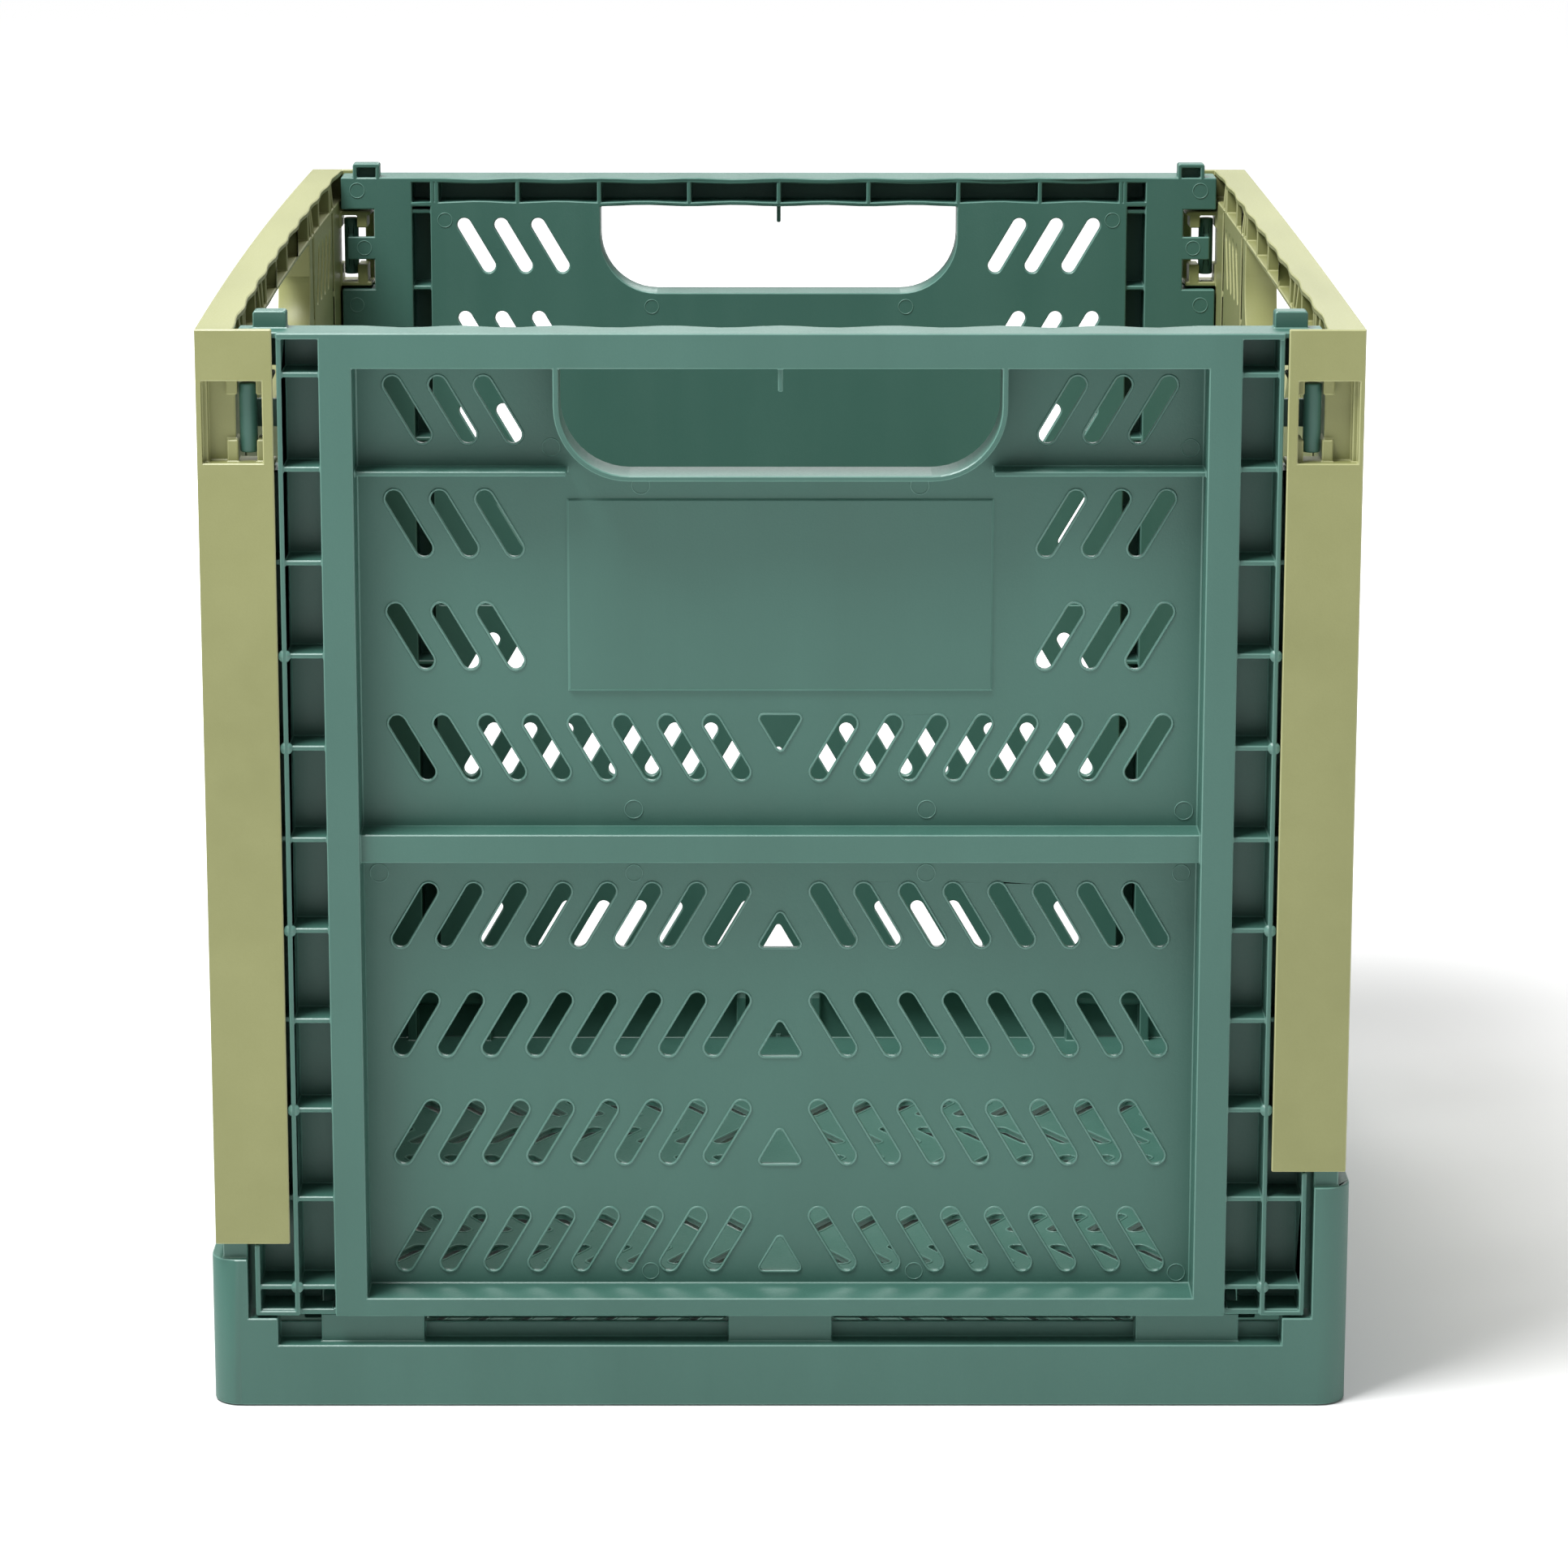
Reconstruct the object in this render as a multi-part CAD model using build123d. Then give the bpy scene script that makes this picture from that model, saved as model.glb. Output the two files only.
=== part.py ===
from build123d import *
import math
import os

# Collapsible storage crate, millimetres. X runs across, Y from the front end to the
# back end, Z up. The origin is on the ground, under the middle of the base.
# The crate is five mouldings: a base tray, two end walls and two side walls.

# ---- overall sizes --------------------------------------------------------------
BASE_WIDTH = 354.0
BASE_LENGTH = 425.0
RIM_WIDTH = 350.0
SIDE_TOP = 338.0
END_TOP = 336.8
PEG_TOP = 342.0
BASE_CORNER = 9.0

# ---- moulded sections -----------------------------------------------------------
SHEET = 2.2
SKIN = 1.8
RIB = 1.5
END_DEPTH = 17.6
SIDE_DEPTH = 11.4
PANEL_FACE = END_DEPTH - SHEET

# ---- end wall, measured across from its middle and up from the ground ------------
WALL_BOTTOM = 29.0
SHEET_BOTTOM = 23.3
END_HALF = 163.0
BAR_INNER = 128.3
BAR_OUTER = 138.2
CHANNEL_RIB = 150.8
WING_RIM = 161.5
TOP_BAR_LOW = 326.1
FOOT_BAR_TOP = 34.8
DIVIDER_LOW = 173.4
DIVIDER_HIGH = 182.2
DIVIDER_SETBACK = 3.0
FLANGE = 2.0
FLANGE_GAP = 0.4
SIDE_RIB_TOP = 324.9
SIDE_RIB_PITCH = 28.6
SIDE_RIB_COUNT = 11
TOP_RIB_PLACES = (0.0, 33.4, 66.9, 97.3, 127.5)

# ---- handle opening, label plate and perforations ----------------------------------
HANDLE_HALF = 66.5
HANDLE_SILL = 293.7
HANDLE_CORNER = 21.0
HANDLE_RING = 1.7
LABEL_HALF = 64.5
LABEL_LOW = 225.0
LABEL_HIGH = 284.0
LABEL_PROUD = 0.9
SLOT_WIDTH = 5.4
SLOT_LENGTH = 23.0
SLOT_LEAN = 30.4
SLOT_PITCH = 13.77
SLOT_FIRST = 16.4
SLOTS_A_SIDE = 8
ROW_PITCH = 34.9
UPPER_ROW = 311.5
LOWER_ROW = 153.9
TRIANGLE_SIDE = 14.4
TRIANGLE_ROUND = 1.2
ROW_HALF_HEIGHT = 10.4

# ---- corner latch -------------------------------------------------------------------
LATCH_LOW = 295.0
LATCH_HIGH = 325.0
LATCH_ROD_X = 160.0
LATCH_ROD_DEPTH = 8.0
LATCH_ROD_RADIUS = 2.7
LATCH_ROD_LOW = 299.9
LATCH_ROD_HIGH = 320.9
TONGUE_LOW = 306.3
TONGUE_HIGH = 314.7
WINDOW_LOW = 297.5
WINDOW_HIGH = 322.4
JAW_HEIGHT = 4.6
LATCH_BACK = 6.6
LATCH_BACK_THICK = 1.6

# ---- stacking pegs ----------------------------------------------------------------------
PEG_X = 153.5
PEG_WIDTH = 10.0
PEG_FRONT = 11.0

# ---- base tray ---------------------------------------------------------------------------
FLOOR_TOP = 3.0
FLOOR_THICK = 2.0
RIM_TOP = 19.5
RIM_DEPTH = 10.7
STEP_TOP = 28.2
LIP_TOP = 24.4
STEP_X = 156.3
POST_INNER = 165.4
RIDGE_OUTER = 173.0
RIDGE_SETBACK = 2.5
LEFT_SIDE_BOTTOM = 52.5
RIGHT_SIDE_BOTTOM = 75.8
POST_DROP = 5.2
RIDGE_GAP = 0.3

# ---- hinges of the end walls --------------------------------------------------------------
HINGE_PLACES = (-127.0, 0.0, 127.0)
BLOCK_HALF = 16.0
CHEEK = 3.4
BLOCK_FACE = 4.0
BLOCK_TOP = 28.5
PIN_HALF = 15.0
SOCKET_HALF = 15.2
PIN_CLEARANCE = 0.05
HINGE_GAP = 0.6
FRONT_AXIS_DEPTH = 16.0
FRONT_AXIS_Z = 30.0
FRONT_PIN_RADIUS = 1.8
BACK_AXIS_DEPTH = 9.5
BACK_AXIS_Z = 18.0
BACK_PIN_RADIUS = 2.0
FRONT_EYE_RADIUS = 3.0
BACK_EYE_RADIUS = 4.5

# ---- hinges of the side walls ---------------------------------------------------------------
SIDE_AXIS_X = 167.0
SIDE_AXIS_DROP = 1.6
SIDE_PIN_RADIUS = 1.4
SIDE_HINGE_PLACES = (-150.0, -50.0, 50.0, 150.0)
SIDE_PIN_HALF = 12.0
SIDE_POCKET_HALF = 10.0

# ---- side wall, measured along from its middle ------------------------------------------------
SIDE_HALF = BASE_LENGTH / 2
FLANGE_INNER = 152.0
END_BAR_OUTER = 176.0
END_BAR_INNER = 166.0
MID_BAR_OUTER = 101.0
MID_BAR_INNER = 91.0
SIDE_HANDLE_HALF = 83.0
SIDE_TOP_RIB_PITCH = 40.4
BAND_SETBACK = 1.4
SIDE_FOOT = 9.0
SIDE_SHEET_HIGH = 327.8


def block(x0, x1, y0, y1, z0, z1):
    """A box between two opposite corners."""
    middle = Pos((x0 + x1) / 2, (y0 + y1) / 2, (z0 + z1) / 2)
    return middle * Box(abs(x1 - x0), abs(y1 - y0), abs(z1 - z0))


def both_sides(x0, x1, y0, y1, z0, z1):
    """The same box on the left and on the right."""
    return [block(x0, x1, y0, y1, z0, z1), block(-x1, -x0, y0, y1, z0, z1)]


def upright(sketch, back, thickness):
    """A sketch of across and up, made a plate that ends at the depth `back`."""
    return Pos(0, back, 0) * Rot(90, 0, 0) * extrude(sketch, amount=thickness)


def rod_across(x, y, z, radius, half):
    """A round rod that lies along X."""
    return Pos(x, y, z) * Rot(0, 90, 0) * Cylinder(radius, 2 * half)


def slot_hole(x, z, lean):
    """One slanted slot; a positive lean has its top towards +X."""
    return Pos(x, z) * Rot(0, 0, 90 - lean) * SlotOverall(SLOT_LENGTH, SLOT_WIDTH)


def triangle_hole(z, points_up):
    """The small rounded triangle on the middle line of a full row."""
    height = TRIANGLE_SIDE * math.sqrt(3) / 2
    tip = height if points_up else -height
    outline = Polygon((-TRIANGLE_SIDE / 2, 0), (TRIANGLE_SIDE / 2, 0), (0, tip), align=None)
    rounded = fillet(outline.vertices(), TRIANGLE_ROUND)
    base_line = z - ROW_HALF_HEIGHT if points_up else z + ROW_HALF_HEIGHT
    return Pos(0, base_line) * rounded


def row_holes(z, lean, first_slot):
    """Slots on both sides of the middle line, mirrored, from `first_slot` outwards."""
    holes = []
    for number in range(first_slot, SLOTS_A_SIDE):
        x = SLOT_FIRST + number * SLOT_PITCH
        holes.append(slot_hole(x, z, lean))
        holes.append(slot_hole(-x, z, -lean))
    return holes


def end_panel_holes():
    """Upper rows lean outwards, lower rows lean inwards; three rows clear the label."""
    holes = []
    for row in range(4):
        z = UPPER_ROW - row * ROW_PITCH
        holes += row_holes(z, SLOT_LEAN, 0 if row == 3 else 5)
    holes.append(triangle_hole(UPPER_ROW - 3 * ROW_PITCH, False))
    for row in range(4):
        z = LOWER_ROW - row * ROW_PITCH
        holes += row_holes(z, -SLOT_LEAN, 0)
        holes.append(triangle_hole(z, True))
    return holes


def pierced(outline, holes):
    """A flat face with a set of separate holes in it."""
    return Face(outline.face().outer_wire(), [hole.face().outer_wire() for hole in holes])


def handle_outline(half, sill, corner, top):
    """A handle opening: straight at the top, with round lower corners."""
    shape = Pos(0, (sill + top) / 2) * Rectangle(2 * half, top - sill)
    lower = shape.vertices().sort_by(Axis.Y)[:2]
    return fillet(lower, corner)


def handle_ring(half, sill, corner, top, depth):
    """The thin wall that lines a handle opening through the whole wall."""
    outer = handle_outline(half + HANDLE_RING, sill - HANDLE_RING, corner + HANDLE_RING, top)
    inner = handle_outline(half, sill, corner, top)
    return upright(outer - inner, depth, depth)


# ---- end wall -------------------------------------------------------------------------------
def panel(x0, x1, z0, z1):
    """A flat rectangle between two opposite corners, in across and up."""
    return Pos((x0 + x1) / 2, (z0 + z1) / 2) * Rectangle(abs(x1 - x0), abs(z1 - z0))


def panel_pair(x0, x1, z0, z1):
    """The same flat rectangle on the left and on the right."""
    return [panel(x0, x1, z0, z1), panel(-x1, -x0, z0, z1)]


def end_sheet(notch_top):
    """The inner sheet: open at the slots, the handle and the hat-shaped bars' channels."""
    outline = panel(-END_HALF, END_HALF, WALL_BOTTOM, END_TOP)
    outline += panel(-CHANNEL_RIB + RIB, CHANNEL_RIB - RIB, SHEET_BOTTOM, WALL_BOTTOM)
    outline -= panel_pair(CHANNEL_RIB, END_HALF + 1, LATCH_LOW, LATCH_HIGH)
    reach = BLOCK_HALF + HINGE_GAP
    outline -= [panel(x - reach, x + reach, SHEET_BOTTOM - 1, notch_top) for x in HINGE_PLACES]
    holes = end_panel_holes()
    holes.append(handle_outline(HANDLE_HALF, HANDLE_SILL, HANDLE_CORNER, TOP_BAR_LOW))
    channel_edge = BAR_OUTER - RIB
    holes.append(panel(-channel_edge, channel_edge, TOP_BAR_LOW + RIB, END_TOP - SKIN))
    holes.append(panel(-BAR_INNER, BAR_INNER, DIVIDER_LOW + RIB, DIVIDER_HIGH - RIB))
    holes += panel_pair(BAR_INNER + RIB, channel_edge, FOOT_BAR_TOP, TOP_BAR_LOW)
    return upright(pierced(outline, holes), END_DEPTH, SHEET)


def end_frame():
    """Hat-shaped bars: two uprights, top bar, divider and foot bar, open to the inside."""
    pieces = both_sides(BAR_INNER, BAR_OUTER, 0, SKIN, WALL_BOTTOM, END_TOP)
    pieces += both_sides(BAR_INNER, BAR_INNER + RIB, 0, END_DEPTH, WALL_BOTTOM, END_TOP)
    pieces += both_sides(BAR_OUTER - RIB, BAR_OUTER, 0, END_DEPTH, WALL_BOTTOM, END_TOP)
    pieces.append(block(-BAR_OUTER, BAR_OUTER, 0, SKIN, TOP_BAR_LOW, END_TOP))
    pieces.append(block(-BAR_OUTER, BAR_OUTER, 0, END_DEPTH, TOP_BAR_LOW, TOP_BAR_LOW + RIB))
    pieces.append(block(-END_HALF, END_HALF, FLANGE + FLANGE_GAP, END_DEPTH, END_TOP - SKIN, END_TOP))
    pieces.append(block(-CHANNEL_RIB, CHANNEL_RIB, 0, END_DEPTH, END_TOP - SKIN, END_TOP))
    front = DIVIDER_SETBACK
    pieces.append(block(-BAR_INNER, BAR_INNER, front, front + SKIN, DIVIDER_LOW, DIVIDER_HIGH))
    pieces.append(block(-BAR_INNER, BAR_INNER, front, END_DEPTH, DIVIDER_LOW, DIVIDER_LOW + RIB))
    pieces.append(block(-BAR_INNER, BAR_INNER, front, END_DEPTH, DIVIDER_HIGH - RIB, DIVIDER_HIGH))
    pieces.append(block(-BAR_INNER, BAR_INNER, 0, SKIN, WALL_BOTTOM, FOOT_BAR_TOP))
    pieces.append(block(-BAR_INNER, BAR_INNER, 0, END_DEPTH, FOOT_BAR_TOP - RIB, FOOT_BAR_TOP))
    pieces.append(block(-END_HALF, END_HALF, FLANGE, END_DEPTH, WALL_BOTTOM, WALL_BOTTOM + SKIN))
    for x in TOP_RIB_PLACES:
        for place in {x, -x}:
            pieces.append(block(place - RIB / 2, place + RIB / 2, 1, END_DEPTH, TOP_BAR_LOW, END_TOP))
    return pieces


def end_wings(left_low, right_low):
    """The ribbed outer channels, and the wings that stand behind the side walls' flanges."""
    behind = FLANGE + FLANGE_GAP
    pieces = both_sides(CHANNEL_RIB - RIB, CHANNEL_RIB, 0.6, END_DEPTH, WALL_BOTTOM, END_TOP)
    pieces += both_sides(WING_RIM, END_HALF, behind, END_DEPTH, WALL_BOTTOM, END_TOP)
    ends = ((-1, left_low), (1, right_low))
    for side, low in ends:
        foot = low - 0.6
        pieces.append(block(side * WING_RIM, side * END_HALF, 0.6, END_DEPTH, WALL_BOTTOM, foot))
        pieces.append(block(side * CHANNEL_RIB, side * END_HALF, 0.6, 4, WALL_BOTTOM, WALL_BOTTOM + RIB))
        for number in range(SIDE_RIB_COUNT):
            z = SIDE_RIB_TOP - number * SIDE_RIB_PITCH
            near, far = side * BAR_OUTER, side * CHANNEL_RIB
            pieces.append(block(near, far, 1.2, END_DEPTH, z - RIB, z))
            start = 1.2 if z < foot else behind
            pieces.append(block(far, side * END_HALF, start, END_DEPTH, z - RIB, z))
            if number < SIDE_RIB_COUNT - 1:
                hidden = block(side * BAR_INNER, near, 1, END_DEPTH - 1, z - RIB, z)
                pieces.append(hidden)
    return pieces


def end_shelf_ribs():
    """Thin shelves beside the handle, at the height of its sill, and a finger rib above."""
    shelf_top = HANDLE_SILL + 0.5
    start = HANDLE_HALF - 2
    pieces = both_sides(start, BAR_INNER, 5, PANEL_FACE, shelf_top - RIB, shelf_top)
    pieces.append(block(-RIB / 2, RIB / 2, 1, 8, TOP_BAR_LOW - 7, TOP_BAR_LOW))
    return pieces


def latch_cut():
    """The notch in both edges of an end wall, where the side wall's latch box enters."""
    return both_sides(CHANNEL_RIB, END_HALF + 1, -1, END_DEPTH + 1, LATCH_LOW, LATCH_HIGH)


def latch_bars():
    """A tongue in each notch that carries an upright latch rod."""
    pieces = both_sides(CHANNEL_RIB - RIB, LATCH_ROD_X, PANEL_FACE, END_DEPTH, TONGUE_LOW, TONGUE_HIGH)
    web = RIB / 2
    pieces += both_sides(LATCH_ROD_X - web, LATCH_ROD_X + web, LATCH_ROD_DEPTH, END_DEPTH, TONGUE_LOW, TONGUE_HIGH)
    height = LATCH_ROD_HIGH - LATCH_ROD_LOW
    for side in (-1, 1):
        place = Pos(side * LATCH_ROD_X, LATCH_ROD_DEPTH, (LATCH_ROD_HIGH + LATCH_ROD_LOW) / 2)
        pieces.append(place * fillet(Cylinder(LATCH_ROD_RADIUS, height).edges(), 0.6))
    return pieces


def pegs():
    """Hollow stacking pegs near the ends of the top edge, open to the inside."""
    pieces = []
    for side in (-1, 1):
        middle = side * PEG_X
        outer = block(middle - PEG_WIDTH / 2, middle + PEG_WIDTH / 2, PEG_FRONT, END_DEPTH, END_TOP - 0.5, PEG_TOP)
        corners = outer.edges().filter_by(Axis.Y).group_by(Axis.Z)[-1]
        outer = fillet(corners, 1.0)
        inner = block(
            middle - PEG_WIDTH / 2 + RIB, middle + PEG_WIDTH / 2 - RIB,
            PEG_FRONT + RIB, END_DEPTH + 1, END_TOP, PEG_TOP - RIB,
        )
        pieces.append(outer - inner)
    return pieces


def end_wall(left_low, right_low, hinge_notch, notch_top, hinge_pins):
    """One end wall; depth 0 is its outer face. Its hinge notches are cut before the pins go in."""
    frame = Part() + end_frame() + end_wings(left_low, right_low) + end_shelf_ribs()
    frame -= latch_cut() + hinge_notch
    label = block(-LABEL_HALF, LABEL_HALF, PANEL_FACE - LABEL_PROUD, PANEL_FACE, LABEL_LOW, LABEL_HIGH)
    ring = handle_ring(HANDLE_HALF, HANDLE_SILL, HANDLE_CORNER, TOP_BAR_LOW + RIB / 2, END_DEPTH)
    frame += [label, ring] + latch_bars() + pegs() + hinge_pins
    return frame + end_sheet(notch_top)


def front_end_wall():
    """The front wall folds on top of the back one, on pins at its lower inner edge."""
    notch_top = FOOT_BAR_TOP - RIB
    notch_front = 10.5
    reach = BLOCK_HALF + HINGE_GAP
    tongue = BLOCK_HALF - CHEEK - 0.4
    notches = []
    pins = []
    for x in HINGE_PLACES:
        notches.append(block(x - reach, x + reach, notch_front, END_DEPTH + 1, SHEET_BOTTOM - 1, notch_top))
        pins.append(block(x - tongue, x + tongue, FLANGE, FRONT_AXIS_DEPTH, WALL_BOTTOM, WALL_BOTTOM + 2))
        pins.append(rod_across(x, FRONT_AXIS_DEPTH, FRONT_AXIS_Z, FRONT_PIN_RADIUS, PIN_HALF))
    return end_wall(LEFT_SIDE_BOTTOM, RIGHT_SIDE_BOTTOM, notches, notch_top, pins)


def back_end_wall():
    """The back wall folds down first, on pins carried by tongues below its foot bar."""
    tongue = BLOCK_HALF - CHEEK - 0.4
    half_thick = BACK_PIN_RADIUS - 0.2
    near = BACK_AXIS_DEPTH - half_thick
    far = BACK_AXIS_DEPTH + half_thick
    pins = []
    for x in HINGE_PLACES:
        pins.append(block(x - tongue, x + tongue, near, far, BACK_AXIS_Z, WALL_BOTTOM + SKIN))
        pins.append(rod_across(x, BACK_AXIS_DEPTH, BACK_AXIS_Z, BACK_PIN_RADIUS, PIN_HALF))
    return end_wall(RIGHT_SIDE_BOTTOM, LEFT_SIDE_BOTTOM, [], WALL_BOTTOM, pins)


# ---- side wall, made with X as the length and Y as the depth from the outer face ----------------
def side_panel_holes(low):
    """Slots of the three side panels, above the wall's own foot bar."""
    holes = []
    outer_first = MID_BAR_OUTER + 13
    for row in range(8):
        upper = row < 4
        z = UPPER_ROW - row * ROW_PITCH if upper else LOWER_ROW - (row - 4) * ROW_PITCH
        if z - ROW_HALF_HEIGHT < low + 14:
            continue
        lean = SLOT_LEAN if upper else -SLOT_LEAN
        for number in range(4):
            x = outer_first + number * SLOT_PITCH
            holes.append(slot_hole(x, z, lean))
            holes.append(slot_hole(-x, z, -lean))
        if row < 3:
            continue
        for number in range(5):
            x = SLOT_FIRST + number * SLOT_PITCH
            holes.append(slot_hole(x, z, lean))
            holes.append(slot_hole(-x, z, -lean))
        holes.append(triangle_hole(z, not upper))
    return holes


def side_bars(low):
    """The side wall's hat-shaped bars, open to the inside, and the ribs in its top bar."""
    depth = SIDE_DEPTH
    foot = low + SIDE_FOOT
    pieces = []
    uprights = ((MID_BAR_INNER, MID_BAR_OUTER), (END_BAR_INNER, END_BAR_OUTER))
    for inner, outer in uprights:
        pieces += both_sides(inner, outer, 0, SKIN, low, SIDE_TOP)
        pieces += both_sides(inner, inner + RIB, 0, depth, low, SIDE_TOP)
        pieces += both_sides(outer - RIB, outer, 0, depth, low, SIDE_TOP)
        for number in range(9):
            z = SIDE_RIB_TOP - 28 - number * SIDE_RIB_PITCH
            if z > foot + 6:
                pieces += both_sides(inner, outer, 1, depth - 0.6, z - RIB, z)
    pieces.append(block(-SIDE_HALF, SIDE_HALF, 0, SKIN, WINDOW_HIGH, SIDE_TOP))
    pieces.append(block(-SIDE_HALF, SIDE_HALF, 0, depth, SIDE_TOP - SKIN, SIDE_TOP))
    pieces.append(block(-SIDE_HALF, SIDE_HALF, 0, depth, SIDE_SHEET_HIGH - RIB, SIDE_SHEET_HIGH))
    pieces.append(block(-END_BAR_OUTER, END_BAR_OUTER, 0, SKIN, low, foot))
    pieces.append(block(-END_BAR_OUTER, END_BAR_OUTER, 0, depth, foot - RIB, foot))
    pieces.append(block(-END_BAR_OUTER, END_BAR_OUTER, 0, SKIN + 1, low, low + SKIN))
    pieces.append(block(-MID_BAR_INNER, MID_BAR_INNER, 2, 2 + SKIN, DIVIDER_LOW, DIVIDER_HIGH))
    pieces.append(block(-MID_BAR_INNER, MID_BAR_INNER, 2, depth, DIVIDER_LOW, DIVIDER_LOW + RIB))
    pieces.append(block(-MID_BAR_INNER, MID_BAR_INNER, 2, depth, DIVIDER_HIGH - RIB, DIVIDER_HIGH))
    for number in range(-4, 5):
        x = number * SIDE_TOP_RIB_PITCH
        pieces.append(block(x - RIB / 2, x + RIB / 2, 1, depth, SIDE_SHEET_HIGH - RIB, SIDE_TOP))
    return pieces


def side_ends(low):
    """Flat ends of the side wall, with the flanges that wrap round the end walls."""
    depth = SIDE_DEPTH
    reach = RIM_WIDTH / 2 - FLANGE_INNER
    pieces = both_sides(END_BAR_OUTER, SIDE_HALF, 0, SKIN, low, WINDOW_LOW)
    pieces += both_sides(END_BAR_OUTER, SIDE_HALF, BAND_SETBACK, BAND_SETBACK + SKIN, WINDOW_LOW, WINDOW_HIGH)
    pieces += both_sides(SIDE_HALF - FLANGE, SIDE_HALF, 0, reach, low, SIDE_TOP)
    pieces += both_sides(END_BAR_OUTER, SIDE_HALF, 0, depth, low, low + RIB)
    for number in range(2, 9):
        z = SIDE_RIB_TOP - number * SIDE_RIB_PITCH
        if z > low + 6:
            pieces += both_sides(END_BAR_OUTER, SIDE_HALF, 0.5, depth, z - RIB, z)
    return pieces


def latch_boxes():
    """Plates and jaws that hold an end wall's latch rod from both sides."""
    reach = RIM_WIDTH / 2 - FLANGE_INNER
    rod = RIM_WIDTH / 2 - LATCH_ROD_X
    jaw_gap = LATCH_ROD_RADIUS + 0.15
    rear = SIDE_HALF - 14.6
    front = SIDE_HALF - FLANGE
    pieces = both_sides(rear, front, 0.5, reach, WINDOW_LOW - RIB, WINDOW_LOW)
    pieces += both_sides(rear, front, 0.5, reach, WINDOW_HIGH, WINDOW_HIGH + RIB)
    jaw_rows = ((WINDOW_LOW, WINDOW_LOW + JAW_HEIGHT + 2), (WINDOW_HIGH - JAW_HEIGHT, WINDOW_HIGH))
    for z0, z1 in jaw_rows:
        pieces += both_sides(rear, front - 1.6, rod + jaw_gap, reach - 1.4, z0, z1)
        pieces += both_sides(rear, front - 1.6, rod - jaw_gap - 3.2, rod - jaw_gap, z0, z1)
    back = SIDE_HALF - LATCH_BACK
    pieces += both_sides(back - LATCH_BACK_THICK, back, BAND_SETBACK, SIDE_DEPTH, WINDOW_LOW, WINDOW_HIGH)
    return pieces


def side_sheet(low):
    """The inner sheet of a side wall, open at the slots, the handle and the bars' channels."""
    bottom = low + SIDE_FOOT
    outline = panel(-SIDE_HALF, SIDE_HALF, low, SIDE_SHEET_HIGH)
    holes = side_panel_holes(low)
    holes.append(handle_outline(SIDE_HANDLE_HALF, HANDLE_SILL, HANDLE_CORNER, SIDE_SHEET_HIGH - RIB))
    holes.append(panel(-MID_BAR_INNER, MID_BAR_INNER, DIVIDER_LOW + RIB, DIVIDER_HIGH - RIB))
    for inner, outer in ((MID_BAR_INNER, MID_BAR_OUTER), (END_BAR_INNER, END_BAR_OUTER)):
        holes += panel_pair(inner + RIB, outer - RIB, bottom, SIDE_SHEET_HIGH - RIB)
    outline -= panel_pair(SIDE_HALF - LATCH_BACK, SIDE_HALF + 1, WINDOW_LOW, WINDOW_HIGH)
    for x in SIDE_HINGE_PLACES:
        notch = SIDE_POCKET_HALF + 1
        outline -= panel(x - notch, x + notch, low - 1, low + SIDE_FOOT - RIB)
    return upright(pierced(outline, holes), SIDE_DEPTH, SHEET)


def side_hinge_pins(low):
    """Pins along the lower edge of a side wall, each on a tongue inside the foot bar."""
    pin_depth = RIM_WIDTH / 2 - SIDE_AXIS_X
    pin_z = low - SIDE_AXIS_DROP
    half_thick = SIDE_PIN_RADIUS - 0.1
    tongue = SIDE_POCKET_HALF - 0.4
    pins = []
    for x in SIDE_HINGE_PLACES:
        top = low + SIDE_FOOT
        pins.append(block(x - tongue, x + tongue, pin_depth - half_thick, pin_depth + half_thick, pin_z, top))
        pins.append(rod_across(x, pin_depth, pin_z, SIDE_PIN_RADIUS, SIDE_PIN_HALF))
    return pins


def side_wall(low):
    """One side wall; depth 0 is its outer face and `low` the height of its lower edge."""
    depth = SIDE_DEPTH
    reach = RIM_WIDTH / 2 - FLANGE_INNER
    frame = Part() + side_bars(low) + side_ends(low)
    frame -= both_sides(
        SIDE_HALF - FLANGE - 1, SIDE_HALF + 1,
        BAND_SETBACK + 0.2, reach - 3.2, WINDOW_LOW, WINDOW_HIGH,
    )
    ring = handle_ring(SIDE_HANDLE_HALF, HANDLE_SILL, HANDLE_CORNER, SIDE_SHEET_HIGH - RIB / 2, depth)
    label_face = depth - SHEET - LABEL_PROUD
    label = block(-LABEL_HALF, LABEL_HALF, label_face, depth - SHEET, LABEL_LOW, LABEL_HIGH)
    frame += [ring, label] + latch_boxes() + side_hinge_pins(low)
    return frame + side_sheet(low)


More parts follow.
